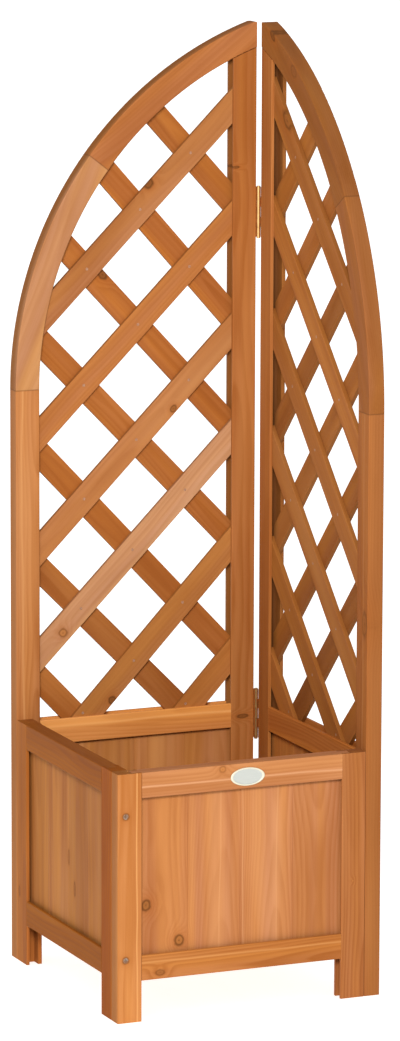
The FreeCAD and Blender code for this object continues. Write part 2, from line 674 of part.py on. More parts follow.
def add_corner_screws():
    front_left = corner_screws(lambda z: Vector(BAR_MIDDLE, 0, z), Y_AXIS)
    rear_left = corner_screws(lambda z: Vector(BAR_MIDDLE, DEPTH, z), -Y_AXIS)
    front_right = corner_screws(lambda z: Vector(WIDTH, BAR_MIDDLE, z), -X_AXIS)
    nodes["box_corner_screws"] = joined([countersunk_screw(*s) for s in front_left + rear_left])
    nodes["wing_corner_screws"] = joined([countersunk_screw(*s) for s in front_right])
    left_holes = joined([screw_hole(*s, SCREW_PLAY) for s in front_left + rear_left])
    for name in ("front_left_stile", "left_front_stile", "left_back_stile", "rear_outer_post"):
        nodes[name] = nodes[name].cut(left_holes)
    right_holes = joined([screw_hole(*s, SCREW_PLAY) for s in front_right])
    nodes["wing_outer_post"] = nodes["wing_outer_post"].cut(right_holes)
    swing_holes = joined([screw_hole(*s, SWING_PLAY) for s in front_right])
    nodes["front_right_stile"] = nodes["front_right_stile"].cut(swing_holes)


def export():
    """Move the origin to the bottom centre and write one file per node."""
    os.makedirs("parts", exist_ok=True)
    shift = Vector(-WIDTH / 2.0, -(DEPTH - BADGE_THICK) / 2.0, 0)
    for name in sorted(nodes):
        shape = nodes[name].copy()
        shape.translate(shift)
        solids = shape.Solids
        bad = [s for s in solids if not s.isValid() or s.Volume <= 0]
        print("%-24s %2d solid(s) %10.0f mm3%s"
              % (name, len(solids), sum(s.Volume for s in solids), "  BAD" if bad else ""))
        shape = joined(solids)
        shape.exportStep("parts/%s.step" % name)


build()
export()
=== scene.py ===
# %% [markdown]
# # A corner planter with two arched trellis walls
# The real object is a garden planter of stained softwood: a square box on short legs, whose
# rear and right walls rise into arched lattice. Its bars, boards and slats already exist at
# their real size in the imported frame. This lesson gives each of them its timber: the grain
# runs along every bar, each board comes from another log, knots sit where the real ones are.

import math
import random

import bpy
import numpy as np
from mathutils import Matrix, Vector


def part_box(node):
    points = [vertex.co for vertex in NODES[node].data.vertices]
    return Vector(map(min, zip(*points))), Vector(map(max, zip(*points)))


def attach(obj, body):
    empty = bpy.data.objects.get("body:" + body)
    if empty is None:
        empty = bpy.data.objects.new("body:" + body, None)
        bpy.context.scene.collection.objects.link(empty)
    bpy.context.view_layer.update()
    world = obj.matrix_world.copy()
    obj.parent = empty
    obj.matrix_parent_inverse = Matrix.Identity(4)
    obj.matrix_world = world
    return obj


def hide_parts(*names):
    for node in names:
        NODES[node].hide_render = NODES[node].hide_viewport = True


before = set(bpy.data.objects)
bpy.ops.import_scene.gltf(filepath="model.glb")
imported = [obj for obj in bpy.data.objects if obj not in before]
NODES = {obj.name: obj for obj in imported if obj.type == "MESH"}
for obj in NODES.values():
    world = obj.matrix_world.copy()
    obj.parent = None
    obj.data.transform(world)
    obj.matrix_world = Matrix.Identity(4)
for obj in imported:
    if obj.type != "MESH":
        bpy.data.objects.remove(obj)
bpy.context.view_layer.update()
MM = 0.001

# %% [markdown]
# ## The camera
# The photograph was taken from far away with a long lens, a little above the arches and to
# the left of the box. A camera is a place, three angles and a focal length. The angles are
# turned into three perpendicular directions (right, up and ahead), and these are the columns
# of the camera's matrix. No shift is needed, because the picture is not a crop.

# %% Camera
PHOTO_HEIGHT_PX = 1041
FOCAL_PX = 5610.3
SENSOR_MM = 36.0
CAMERA_PLACE = Vector((-3.2387, -7.4827, 2.2054))
YAW = 0.40944          # radians, clockwise from +Y seen from above
PITCH = 0.18335        # downward
ROLL = 0.00318
FAR_LIMIT = 200.0      # nothing further away than this is drawn


def camera_matrix(place, yaw, pitch, roll):
    """World matrix of a camera: its right, up and backward directions, then its place."""
    ahead = Vector((math.sin(yaw) * math.cos(pitch), math.cos(yaw) * math.cos(pitch), -math.sin(pitch)))
    level = Vector((math.cos(yaw), -math.sin(yaw), 0.0))
    plumb = level.cross(ahead)
    right = level * math.cos(roll) + plumb * math.sin(roll)
    up = plumb * math.cos(roll) - level * math.sin(roll)
    turn = Matrix((right, up, -ahead)).transposed().to_4x4()
    return Matrix.Translation(place) @ turn


camera = bpy.data.objects.new("camera", bpy.data.cameras.new("camera"))
bpy.context.scene.collection.objects.link(camera)
camera.data.sensor_width = SENSOR_MM
camera.data.lens = FOCAL_PX / PHOTO_HEIGHT_PX * SENSOR_MM
camera.data.clip_end = FAR_LIMIT
camera.matrix_world = camera_matrix(CAMERA_PLACE, YAW, PITCH, ROLL)
bpy.context.scene.camera = camera
print("camera lens %.1f mm" % camera.data.lens)

# %% [markdown]
# ## The floor
# A studio floor is a sweep of white paper that fills the frame behind the object. Here it is a
# wide flat disc, the simplest shape that reaches past the picture on every side. It glows a
# little, like lit paper, so it stays white and throws light up under the rails. It is no part
# of the planter.

# %% Floor
WHITE = (1.0, 1.0, 1.0, 1.0)
FLOOR_RADIUS = 60.0
FLOOR_SIDES = 96
FLOOR_COLOUR = (0.93, 0.93, 0.93, 1.0)
FLOOR_ROUGHNESS = 0.9
FLOOR_GLOW = 0.86


def disc(name, radius, sides, z):
    """Flat disc: points at angle t on a circle of the radius, joined by one face."""
    t = np.linspace(0.0, 2.0 * math.pi, sides, endpoint=False)
    points = np.stack([radius * np.cos(t), radius * np.sin(t), np.full(sides, z)], axis=1)
    mesh = bpy.data.meshes.new(name)
    mesh.from_pydata(points.tolist(), [], [list(range(sides))])
    piece = bpy.data.objects.new(name, mesh)
    bpy.context.scene.collection.objects.link(piece)
    return piece


floor = disc("floor", FLOOR_RADIUS, FLOOR_SIDES, 0.0)
floor_paint = bpy.data.materials.new("floor_paint")
floor_paint.use_nodes = True
paint = floor_paint.node_tree.nodes["Principled BSDF"].inputs
paint["Base Color"].default_value = FLOOR_COLOUR
paint["Roughness"].default_value = FLOOR_ROUGHNESS
paint["Emission Color"].default_value = WHITE
paint["Emission Strength"].default_value = FLOOR_GLOW
floor.data.materials.append(floor_paint)
print("floor %.0f m across" % (2 * FLOOR_RADIUS))

# %% [markdown]
# ## Studio light
# The studio is white all round, so soft light comes from everywhere. One large lamp, in front
# and to the left, makes the front faces brighter than the sides and the tops. Each slat and
# lip throws a thin soft shadow down to its right, as in the photograph. The photograph shows
# no shadow on the ground, so light linking takes the floor out of the lamp's reach. The
# Standard view transform shows white paper as white.

# %% Studio light
SKY_STRENGTH = 0.48
KEY_PLACE = Vector((-2.47, -4.85, 3.24))
KEY_AIM = Vector((0.0, 0.0, 0.7))
KEY_SIZE = 1.5
KEY_WATTS = 395.0

world = bpy.data.worlds.new("studio")
world.use_nodes = True
sky = world.node_tree.nodes["Background"].inputs
sky["Color"].default_value = WHITE
sky["Strength"].default_value = SKY_STRENGTH
bpy.context.scene.world = world
bpy.context.scene.view_settings.view_transform = "Standard"

key = bpy.data.objects.new("key_light", bpy.data.lights.new("key_light", "AREA"))
bpy.context.scene.collection.objects.link(key)
key.data.size = KEY_SIZE
key.data.energy = KEY_WATTS
key.location = KEY_PLACE
key.rotation_euler = (KEY_AIM - KEY_PLACE).to_track_quat("-Z", "Y").to_euler()
not_by_key = bpy.data.collections.new("not_lit_by_key")
not_by_key.objects.link(floor)
not_by_key.collection_objects[0].light_linking.link_state = "EXCLUDE"
key.light_linking.receiver_collection = not_by_key
print("key light %.1f m away" % (KEY_AIM - KEY_PLACE).length)

# %% [markdown]
# ## Shader maths that reads like maths
# A wood pattern is a formula of a point in space. Drawn by hand as a node tree it would take
# a hundred nodes. Instead a small class wraps a socket, and its operators add the Math nodes,
# so that `(c - pith) ** 2` in Python becomes the right nodes. Every other node comes from one
# method, `Finish.node`, which sets a node's options and then links or fills its sockets.


# %% Fields and finishes
class Field:
    """A value or vector that varies over a surface: one output socket of one finish."""

    def __init__(self, finish, socket):
        self.finish = finish
        self.socket = socket

    def maths(self, operation, *others):
        inputs = dict(enumerate((self, *others)))
        return self.finish.node("ShaderNodeMath", {"operation": operation}, inputs)

    def __add__(self, other):
        return self.maths("ADD", other)

    def __sub__(self, other):
        return self.maths("SUBTRACT", other)

    def __rsub__(self, other):
        return self.finish.node("ShaderNodeMath", {"operation": "SUBTRACT"}, {0: other, 1: self})

    def __mul__(self, other):
        return self.maths("MULTIPLY", other)

    def __truediv__(self, other):
        return self.maths("DIVIDE", other)

    def __pow__(self, other):
        return self.maths("POWER", other)

    __radd__ = __add__
    __rmul__ = __mul__

    def axis(self, index):
        """One component of a vector, 0 to 2."""
        return self.finish.node("ShaderNodeSeparateXYZ", {}, {0: self}, out=index)

    def root(self):
        return self.maths("SQRT")

    def whole(self):
        return self.maths("FLOOR")

    def part(self):
        return self.maths("FRACT")

    def size(self):
        return self.maths("ABSOLUTE")

    def sine(self):
        return self.maths("SINE")

    def above_zero(self):
        return self.maths("MAXIMUM", 0.0)

    def bell(self, width):
        """1 at zero, falling as exp(-(x / width)^2)."""
        square = (self / width) ** 2.0
        return (0.0 - square).maths("EXPONENT")

    def ramp(self, low, high, first=0.0, last=1.0):
        """Smooth step from first to last as the value goes from low to high."""
        return self.finish.node("ShaderNodeMapRange", {"interpolation_type": "SMOOTHSTEP"},
                                {"Value": self, "From Min": low, "From Max": high,
                                 "To Min": first, "To Max": last})


class Finish:
    """A material whose node tree is written as expressions."""

    def __init__(self, name):
        self.material = bpy.data.materials.new(name)
        self.material.use_nodes = True
        self.tree = self.material.node_tree
        self.shader = self.tree.nodes["Principled BSDF"]

    def fill(self, socket, value):
        if isinstance(value, Field):
            self.tree.links.new(value.socket, socket)
        elif isinstance(value, tuple) and len(value) == 3 and socket.type == "RGBA":
            socket.default_value = (*value, 1.0)
        else:
            socket.default_value = value

    def node(self, kind, settings, inputs, out=0):
        """Any node: options first, then values or links for its sockets."""
        node = self.tree.nodes.new(kind)
        for option, value in settings.items():
            setattr(node, option, value)
        for socket, value in inputs.items():
            self.fill(node.inputs[socket], value)
        return Field(self, node.outputs[out])

    def point(self):
        return self.node("ShaderNodeTexCoord", {}, {}, out="Object")

    def vector(self, x, y, z):
        return self.node("ShaderNodeCombineXYZ", {}, {0: x, 1: y, 2: z})

    def dot(self, first, direction):
        """Dot product of a vector field and a fixed direction."""
        return self.node("ShaderNodeVectorMath", {"operation": "DOT_PRODUCT"},
                         {0: first, 1: tuple(direction)}, out="Value")

    def facing(self, direction):
        """How squarely the surface faces a direction of the object, 0 to 1."""
        normal = self.node("ShaderNodeTexCoord", {}, {}, out="Normal")
        return self.dot(normal, direction).size()

    def noise(self, vector, scale=1.0, detail=2.0, roughness=0.5):
        """Smooth noise about zero, from about -0.5 to 0.5."""
        value = self.node("ShaderNodeTexNoise", {},
                          {"Vector": vector, "Scale": scale, "Detail": detail, "Roughness": roughness})
        return value - 0.5

    def mix(self, amount, first, second, how="MIX"):
        """Colour between first and second."""
        return self.node("ShaderNodeMix", {"data_type": "RGBA", "blend_type": how},
                         {0: amount, 6: first, 7: second}, out=2)

    def bump(self, height, strength, depth):
        """Normal of a surface that rises by the height times the depth."""
        return self.node("ShaderNodeBump", {}, {"Strength": strength, "Distance": depth, "Height": height})

    def surface(self, **sockets):
        """Feed the shader; underscores in a name stand for spaces."""
        for name, value in sockets.items():
            self.fill(self.shader.inputs[name.replace("_", " ")], value)
        return self.material


print("shader helpers ready")

# %% [markdown]
# ## A log, and a piece cut from it
# A tree grows in rings about its pith. A sawn board is a slice of that log, so each piece of
# timber draws its own log: how far the pith lies aside and behind, and how wide the rings are.
# A Mapping node turns the piece's own space so that x runs along the grain, y across the show
# face and z into the wood. Noise stretched along x then looks like wood fibre, and each
# pattern is moved by its own seed, so that no two patterns or pieces repeat.

# %% Patterns and logs
PATTERNS = {  # noise scales along, across and into the wood (per metre), seed, detail, roughness
    "ripple": ((5.0, 24.0, 24.0), 0.0, 2.0, 0.5),
    "patch": ((1.2, 16.0, 16.0), 3.0, 2.0, 0.5),
    "streak": ((1.6, 95.0, 95.0), 5.0, 3.0, 0.5),
    "fibre": ((16.0, 800.0, 800.0), 7.0, 3.0, 0.6),
    "blotch": ((3.0, 11.0, 11.0), 9.0, 3.0, 0.5),
    "uneven": ((0.8, 30.0, 30.0), 11.0, 2.0, 0.5),
    "band": ((0.9, 38.0, 38.0), 13.0, 1.0, 0.5),
    "flame": ((2.2, 26.0, 26.0), 15.0, 1.0, 0.5),
    "pale": ((1.7, 20.0, 20.0), 17.0, 2.0, 0.5),
}
PITH_ASIDE = 38              # farthest that a pith lies to one side, in millimetres
PITH_BEHIND = (22, 95)       # nearest and farthest that it lies behind or in front
RING_WIDTH = (2.6, 4.6)
SEED_REACH = 40.0
SEED_STEPS = (1.0, 1.7, 2.3)  # how far a seed moves the pattern along each axis


class Log:
    """Where a piece was cut: how far its pith lies aside and behind, and its ring width."""

    def __init__(self, seed):
        draw = random.Random(seed)
        self.aside = draw.uniform(-PITH_ASIDE, PITH_ASIDE) * MM
        self.behind = draw.uniform(*PITH_BEHIND) * MM * draw.choice((-1, 1))
        self.ring = draw.uniform(*RING_WIDTH) * MM
        self.seed = draw.uniform(0.0, SEED_REACH)


def scaled(finish, place, scales, seed):
    """The place stretched by three scales and moved to its own stretch of noise."""
    return finish.node("ShaderNodeMapping", {"vector_type": "POINT"},
                       {"Vector": place, "Scale": scales,
                        "Location": tuple(seed * step for step in SEED_STEPS)})


class Timber:
    """One piece of wood: its finish, its log, its grain space and the colour so far."""

    def __init__(self, name, along, across, origin):
        self.finish = Finish(name)
        self.log = Log(name)
        self.along = along
        self.across = across
        self.inward = along.cross(across)
        self.origin = origin
        self.colour = self.late = self.streak = self.fibre = None   # filled in as it is drawn
        turn = Matrix((along, across, self.inward))
        self.place = self.finish.node("ShaderNodeMapping", {"vector_type": "POINT"},
                                      {"Vector": self.finish.point(),
                                       "Rotation": tuple(turn.to_euler()),
                                       "Location": tuple(-(turn @ origin))})

    def noise(self, scales, seed=0.0, detail=2.0, roughness=0.5):
        """Noise in the grain space, with this log's seed."""
        stretched = scaled(self.finish, self.place, scales, self.log.seed + seed)
        return self.finish.noise(stretched, detail=detail, roughness=roughness)

    def pattern(self, kind):
        return self.noise(*PATTERNS[kind])

    def stain(self, amount, colour, how="MIX"):
        """Lay a colour over the wood by an amount from 0 to 1."""
        self.colour = self.finish.mix(amount, self.colour, colour, how)


print(len(PATTERNS), "wood patterns ready")

# %% [markdown]
# ## How a board shows its log
# The pattern on a board's faces is simply the distance from the pith line, cut into rings.
# Near the pith line the slice is almost tangent to the rings and shows wide arches; away from
# it, straight stripes. Each ring runs from pale early wood to a thin darker line of late wood.
#
# A painted image could not follow the grain round a corner. A formula in space does: the same
# rings come out on the face, the edge and the end of a bar. The pith wanders slowly along the
# length, which makes the stripes lean and close into arches.

# %% Rings
PITH_WANDER = 9 * MM        # how far the pith line drifts sideways along a bar
PITH_ROLL = 16 * MM         # and in depth
PITH_BENDS = 1.4            # how often, per metre
LANE_STEP = 3.7             # moves each board of a wall to its own stretch of drift
BOARD_STEP = 7.3            # and to its own pith
BOARD_SHIFT = 120 * MM
RING_RIPPLE = 1.8 * MM
LATE_RISE = (0.15, 0.82)    # shares of a ring between which late wood darkens
LATE_FALL = (0.84, 1.0)


def ring_distance(wood, number, first, step):
    """Distance from the wandering pith line: the root of (across)^2 + (depth)^2, rippled."""
    finish = wood.finish
    lane = wood.place.axis(0) * PITH_BENDS + wood.log.seed
    if number is None:
        shift = 0.0
        centre = first + wood.log.aside
    else:
        lane = lane + number * LANE_STEP
        shift = finish.noise(finish.vector(number * BOARD_STEP + wood.log.seed, 5.0, 0.0)) * BOARD_SHIFT
        centre = number * step + (first + step / 2) + shift
    aside = finish.noise(finish.vector(lane, 0.0, 0.0)) * (2 * PITH_WANDER) + centre
    behind = finish.noise(finish.vector(0.0, lane, 0.0)) * (2 * PITH_ROLL) + (shift + wood.log.behind)
    across = wood.place.axis(1) - aside
    depth = wood.place.axis(2) - behind
    return (across ** 2.0 + depth ** 2.0).root() + wood.pattern("ripple") * (2 * RING_RIPPLE)


def late_wood(rings):
    """0 in pale early wood, rising to 1 at the end of each ring and falling off quickly."""
    phase = rings.part()
    return phase.ramp(*LATE_RISE) * phase.ramp(*LATE_FALL, 1.0, 0.0)


print("ring ripple %.1f mm" % (RING_RIPPLE / MM))

# %% [markdown]
# ## Stained softwood
# The stain is one orange brown, but wood takes it unevenly. Early wood lies between an ochre
# and a rose tint, late wood and fine streaks are darker, blotches have drunk more stain and a
# few pale patches less. Each is a noise with its own stretch, and each lays one colour over
# the last. Mixing in small steps keeps every share easy to change by itself.

# %% Wood colours
OCHRE_WOOD = (0.560, 0.212, 0.052)
ROSE_WOOD = (0.535, 0.208, 0.074)
LATE_WOOD = (0.360, 0.110, 0.022)
DEEP_STAIN = (0.310, 0.086, 0.014)
PALE_VEIN = (0.650, 0.290, 0.100)
UNEVEN_RINGS = 1.3          # rings by which the ring count strays
ROSE_BANDS = 2.5            # how strongly bands and patches turn ochre into rose
ROSE_PATCHES = 1.5
LATE_SHARE = 0.34           # shares of the late wood's colour that each pattern gives
LATE_PATCHES = 0.9
STREAK_SHARE = 0.80
BAND_SHARE = 0.78
FLAME_SHARE = 0.14
FLAME_STEP = (-0.02, 0.03)
FIBRE_SHARE = 0.40
EVEN_SHARE = 0.16
BLOTCH_SHARE = 1.8
BLOTCH_BASE = 0.05
PALE_SHARE = 2.0
PALE_START = 0.04


def draw_wood(wood, distance, figure):
    """Colour the piece from its rings and patterns; figure says how plainly the rings show."""
    wood.late = late_wood(distance / wood.log.ring + wood.pattern("uneven") * UNEVEN_RINGS)
    wood.streak = wood.pattern("streak")
    wood.fibre = wood.pattern("fibre")
    patch = wood.pattern("patch")
    band = wood.pattern("band")
    flame = wood.pattern("flame").ramp(*FLAME_STEP)
    dark = (wood.late * (patch * LATE_PATCHES + LATE_SHARE) * figure + wood.streak * STREAK_SHARE
            + band * BAND_SHARE + flame * FLAME_SHARE + wood.fibre * FIBRE_SHARE + EVEN_SHARE)
    rosy = (band * ROSE_BANDS + patch * ROSE_PATCHES + 0.5).ramp(0.0, 1.0)
    wood.colour = wood.finish.mix(rosy, OCHRE_WOOD, ROSE_WOOD)
    wood.stain(dark, LATE_WOOD)
    wood.stain((wood.pattern("blotch") * BLOTCH_SHARE + BLOTCH_BASE).above_zero(), DEEP_STAIN)
    wood.stain((wood.pattern("pale") * PALE_SHARE - PALE_START).above_zero(), PALE_VEIN)


print("wood colours ready")

# %% [markdown]
# ## Veins and tints
# A few boards show one pale line of sapwood that wobbles along the grain: a narrow bell about
# a place across the board. After that the whole piece is tinted, because no two bars come from
# the same tree. Boards or slats that share one mesh each get a tint between two near ones.

# %% Veins and tints
VEIN_SCALES = (4.0, 1.0, 1.0)
VEIN_SWAY = 14 * MM
VEIN_SHARE = 0.62
TINT_STEP = 5.9             # moves each board of a wall to its own tint
TINT_GAIN = 2.4
LIGHTEST = 1.3


def add_veins(wood, veins):
    """Pale lines along the grain; each has its place across it and its half width, in mm."""
    for spot, width in veins:
        sway = wood.finish.noise(scaled(wood.finish, wood.place, VEIN_SCALES, spot)) * VEIN_SWAY
        line = (wood.place.axis(1) - spot * MM + sway).bell(width * MM)
        wood.stain(line * (wood.streak + VEIN_SHARE), PALE_VEIN)


def tint(wood, number, shade, spread):
    """Multiply by the shade; where pieces are counted, by one between two shades near it."""
    if number is None:
        wood.stain(1.0, shade, "MULTIPLY")
        return
    each = wood.finish.noise(wood.finish.vector(number * TINT_STEP + wood.log.seed, 1.0, 0.0))
    light = tuple(min(LIGHTEST, share * (1.0 + 2 * spread)) for share in shade)
    deep = tuple(share * (1.0 - 3 * spread) for share in shade)
    own = wood.finish.mix((each * TINT_GAIN + 0.5).ramp(0.0, 1.0), deep, light)
    wood.stain(1.0, own, "MULTIPLY")


print("veins and tints ready")

# %% [markdown]
# ## Knots
# A knot is a branch seen end on: a dark oval with its own small rings, and the grain of the
# board swerves round it. The swerve is a bump added to the ring distance, which bends the
# stripes outward like contour lines round a hill. The oval is a distance again, stretched along
# the grain, with a dark rim and a lighter heart. All its widths are shares of its radius.

# %% Knots
KNOT_HEART = (0.190, 0.062, 0.014)
KNOT_RIM = (0.105, 0.034, 0.008)
KNOT_SCALES = (160.0, 160.0, 160.0)
KNOT_UNEVEN = 0.5
SWERVE_REACH = 2.3
HALO_REACH = 2.0
HALO_SHARE = 0.50
KNOT_EDGE = (0.70, 1.15)
KNOT_COVER = 0.80
SMALL_RING = 0.50
SMALL_RING_SHARE = 0.12
RIM_PLACE = 0.86
RIM_WIDTH = 0.30
RIM_SHARE = 0.72
DOT_WIDTH = 0.24
DOT_SHARE = 0.75


class Knot:
    """A knot on a wall: u along the wall and z up, in millimetres, with its radius."""

    def __init__(self, u, z, radius, stretch, dark, heart, swerve=1.5):
        self.u = u
        self.z = z
        self.radius = radius * MM
        self.stretch = stretch
        self.dark = dark
        self.heart = heart
        self.swerve = swerve


def knot_distance(wood, knot, centre, seed):
    """Oval distance from the knot's axis, in metres, with an uneven outline."""
    along = (wood.place.axis(0) - centre[0]) / knot.stretch
    across = wood.place.axis(1) - centre[1]
    uneven = wood.noise(KNOT_SCALES, seed) * (KNOT_UNEVEN * knot.radius)
    return (along ** 2.0 + across ** 2.0).root() + uneven


def swerve_round(wood, distance, wall, knots):
    """Ring distance with a bump at every knot, and each knot with its oval distance."""
    ovals = []
    for count, knot in enumerate(knots):
        spot = wall.place(knot.u, knot.z) - wood.origin
        centre = (spot.dot(wood.along), spot.dot(wood.across))
        oval = knot_distance(wood, knot, centre, count)
        distance = distance + oval.bell(SWERVE_REACH * knot.radius) * (knot.swerve * knot.radius)
        ovals.append((oval, knot))
    return distance, ovals


def draw_knot(wood, distance, knot):
    """Warm halo, brown heart with a dark pith dot, and a soft dark rim over the wood."""
    low, high = (share * knot.radius for share in KNOT_EDGE)
    inside = distance.ramp(low, high, 1.0, 0.0)
    waves = (distance * (2 * math.pi / (SMALL_RING * knot.radius))).sine()
    heart = wood.finish.mix(waves * SMALL_RING_SHARE + knot.heart, KNOT_HEART, OCHRE_WOOD)
    rim = (distance - RIM_PLACE * knot.radius).bell(RIM_WIDTH * knot.radius)
    dot = distance.bell(DOT_WIDTH * knot.radius)
    wood.stain(distance.bell(HALO_REACH * knot.radius) * (HALO_SHARE * knot.dark), DEEP_STAIN)
    wood.stain(inside * (KNOT_COVER * knot.dark), heart)
    wood.stain((rim * RIM_SHARE + dot * DOT_SHARE) * knot.dark, KNOT_RIM)


print("knot helpers ready")

# %% [markdown]
# ## Where stain gathers, and painted shade
# Joint lines and the ends of a bar drink more stain than its face, so they are darker. Sawn
# edges are darker too: partly their own stain, partly painted shade on the side faces, deeper
# towards the back. The groove along a bar's inner edge gets painted shade. The groove is found
# by two distances: how deep a point lies behind the show face, and how far in from the bar's
# inner edge. A joint line is a narrow bell about the joint's plane. Modelling the darkness as
# soft masks, not as painted lines, keeps it on the right faces from every side.

# %% Edges, grooves, joints and ends
# Edge darkening: the sawn edges' own stain, and painted shade on the side faces, deeper towards the back.
EDGE_STAIN_AND_SHADE = (0.200, 0.068, 0.012)
EDGE_TURN = (0.30, 0.85)    # how squarely a face looks sideways where the edge stain fades
EDGE_DEPTHS = (1.0 * MM, 14.0 * MM)
EDGE_SHARES = (0.35, 1.0)   # of the edge stain at those two depths
# One dark colour: painted shade in the groove and on its back lip, and the real dark stain of the joint
# lines.
GROOVE_SHADE_AND_SEAM_STAIN = (0.085, 0.030, 0.009)
GROOVE_FROM = 4.5 * MM      # depth of the groove's two sides behind the show face
GROOVE_TO = 18.5 * MM
GROOVE_REACH = 16.2 * MM    # how far the groove goes in from a bar's inner edge
GROOVE_SHARE = 0.80
CRISP = 0.1 * MM            # half the width over which a groove's side fades
SOFT = 0.3 * MM
BAR_DEPTH = 25.0 * MM
# the painted shade on the back lip fades between these two distances
LIP = (0.3 * MM, 0.8 * MM)  # the stain on the back lip fades between these
LIP_FADE = 1.5 * MM
LIP_SHARE = 0.5
SEAM_WIDTH = 0.9 * MM
SEAM_SHARE = 0.55
END_TURN = (0.75, 0.97)
END_SHARE = 0.20
END_STAIN = tuple(0.3 * share for share in DEEP_STAIN)    # soaked in


def stain_and_shade_edges(wood, strength):
    """Darken the faces that look sideways, more so towards the back of the piece: sawn-edge stain and
    painted shade.
    """
    side = wood.finish.facing(wood.inward).ramp(*EDGE_TURN, 1.0, 0.0)
    behind = wood.place.axis(2).size().ramp(*EDGE_DEPTHS, *EDGE_SHARES)
    # painted shade on the side faces, mixed with the sawn edges' own stain
    wood.stain(side * behind * strength, EDGE_STAIN_AND_SHADE)


def paint_groove_shade(wood, from_edge):
    """Painted shade between the groove's two sides, up to its bottom, and half as much on its lip."""
    depth = wood.place.axis(2).size()
    after_front = depth.ramp(GROOVE_FROM - CRISP, GROOVE_FROM + CRISP)
    before_back = depth.ramp(GROOVE_TO - CRISP, GROOVE_TO + CRISP, 1.0, 0.0)
    above_bottom = from_edge.ramp(GROOVE_REACH, GROOVE_REACH + SOFT, 1.0, 0.0)
    on_lip = from_edge.ramp(*LIP, 1.0, 0.0) * depth.ramp(BAR_DEPTH - LIP_FADE, BAR_DEPTH, 1.0, 0.0)
    # painted shade in the groove, and half as much on the back lip
    hollow = after_front * before_back * above_bottom + (1.0 - before_back) * on_lip * LIP_SHARE
    wood.stain(hollow * GROOVE_SHARE, GROOVE_SHADE_AND_SEAM_STAIN)


def stain_seams(wood, seams):
    """Darken the planes of the glued joints, each given by a point and a normal."""
    point = wood.finish.point()
    lines = [(wood.finish.dot(point, normal) - spot.dot(normal)).bell(SEAM_WIDTH)
             for spot, normal in seams]
    mask = lines[0]
    for line in lines[1:]:
        mask = mask.maths("MAXIMUM", line)
    wood.stain(mask * SEAM_SHARE, GROOVE_SHADE_AND_SEAM_STAIN)


def stain_ends(wood):
    """Darken the end grain, and return where it is."""
    end = wood.finish.facing(wood.along).ramp(*END_TURN)
    wood.stain(end * END_SHARE, END_STAIN)
    return end


print("groove %.1f mm wide" % ((GROOVE_TO - GROOVE_FROM) / MM))

# %% [markdown]
# ## One timber for one piece
# Everything meets here, in the order in which the real piece came about: the log, its knots,
# the stain, then the places where it gathers. A little relief lifts the fibres and sinks the
# late wood, and the ends are rougher than the faces. The shine is kept very low, because the
# real wood is stained and not varnished.

# %% Timber
FIBRE_RELIEF = 0.8
LATE_RELIEF = 0.5
RELIEF_STRENGTH = 0.5
RELIEF_DEPTH = 0.12 * MM
WOOD_ROUGHNESS = 0.60
FIBRE_ROUGHNESS = 0.12
LATE_ROUGHNESS = 0.08
END_ROUGHNESS = 0.15
WOOD_SHINE = 0.05


def timber(name, along, across, origin, shade, figure=1.0, knots=(), veins=(), wall=None,
           first=0.0, step=None, spread=0.0, groove=None, edge=0.0, seams=()):
    """Material for wood whose grain runs along one direction from an origin.

    Where a mesh holds several pieces side by side, first is where they start and step is how
    wide each is. Otherwise first is the middle of the piece. groove is a function that gives a
    point's distance from the bar's inner edge, where the groove gets painted shade, and edge says
    how dark the sawn edges are, with their stain and painted shade.
    """
    wood = Timber(name, along, across, origin)
    number = None
    if step:
        number = ((wood.place.axis(1) - first) / step).whole()
    distance, ovals = swerve_round(wood, ring_distance(wood, number, first, step), wall, knots)
    draw_wood(wood, distance, figure)
    add_veins(wood, veins)
    tint(wood, number, shade, spread)
    for oval, knot in ovals:
        draw_knot(wood, oval, knot)
    if edge:
        stain_and_shade_edges(wood, edge)
    if groove:
        paint_groove_shade(wood, groove(wood))
    if seams:
        stain_seams(wood, seams)
    end = stain_ends(wood)

    relief = wood.fibre * FIBRE_RELIEF - wood.late * LATE_RELIEF
    bump = wood.finish.bump(relief, RELIEF_STRENGTH, RELIEF_DEPTH)
    rough = (WOOD_ROUGHNESS + wood.fibre * FIBRE_ROUGHNESS - wood.late * LATE_ROUGHNESS
             + end * END_ROUGHNESS)
    return wood.finish.surface(Base_Color=wood.colour, Roughness=rough, Normal=bump,
                               Specular_IOR_Level=WOOD_SHINE)


print("timber ready")

# %% [markdown]
# ## Four walls, one way of measuring
# Every bar belongs to a wall. A wall has a corner on the floor and a direction along it, so a
# knot can be placed by how far along and how high it is. The corners are read from the frame,
# so the wood follows the real pieces.

# %% Walls
UP = Vector((0.0, 0.0, 1.0))
ALONG_X = Vector((1.0, 0.0, 0.0))
ALONG_Y = Vector((0.0, 1.0, 0.0))


class Wall:
    """A wall's corner on the floor at its show face, and its level direction."""

    def __init__(self, corner_node, run):
        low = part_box(corner_node)[0]
        self.corner = Vector((low.x, low.y, 0.0))
        self.run = run

    def place(self, u, z):
        """Point of the show face u along and z up, both in millimetres."""
        return self.corner + self.run * (u * MM) + UP * (z * MM)

    def grain(self, kind):
        """Grain direction and the direction across it in the plane of the wall."""
        return {"upright": (UP, self.run), "level": (self.run, UP)}[kind]

    def slope(self, degrees):
        """The same two directions for a slat that climbs (or drops) along the wall."""
        tilt = math.radians(degrees)
        return (self.run * math.cos(tilt) + UP * math.sin(tilt),
                UP * math.cos(tilt) - self.run * math.sin(tilt))

    def middle(self, node, across):
        """How far the middle of a node's box lies across the grain from the wall's corner."""
        low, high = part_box(node)
        return ((low + high) / 2 - self.corner).dot(across)


def dress(node, material):
    """Put one material on a CAD node."""
    slots = NODES[node].data.materials
    slots.clear()
    slots.append(material)


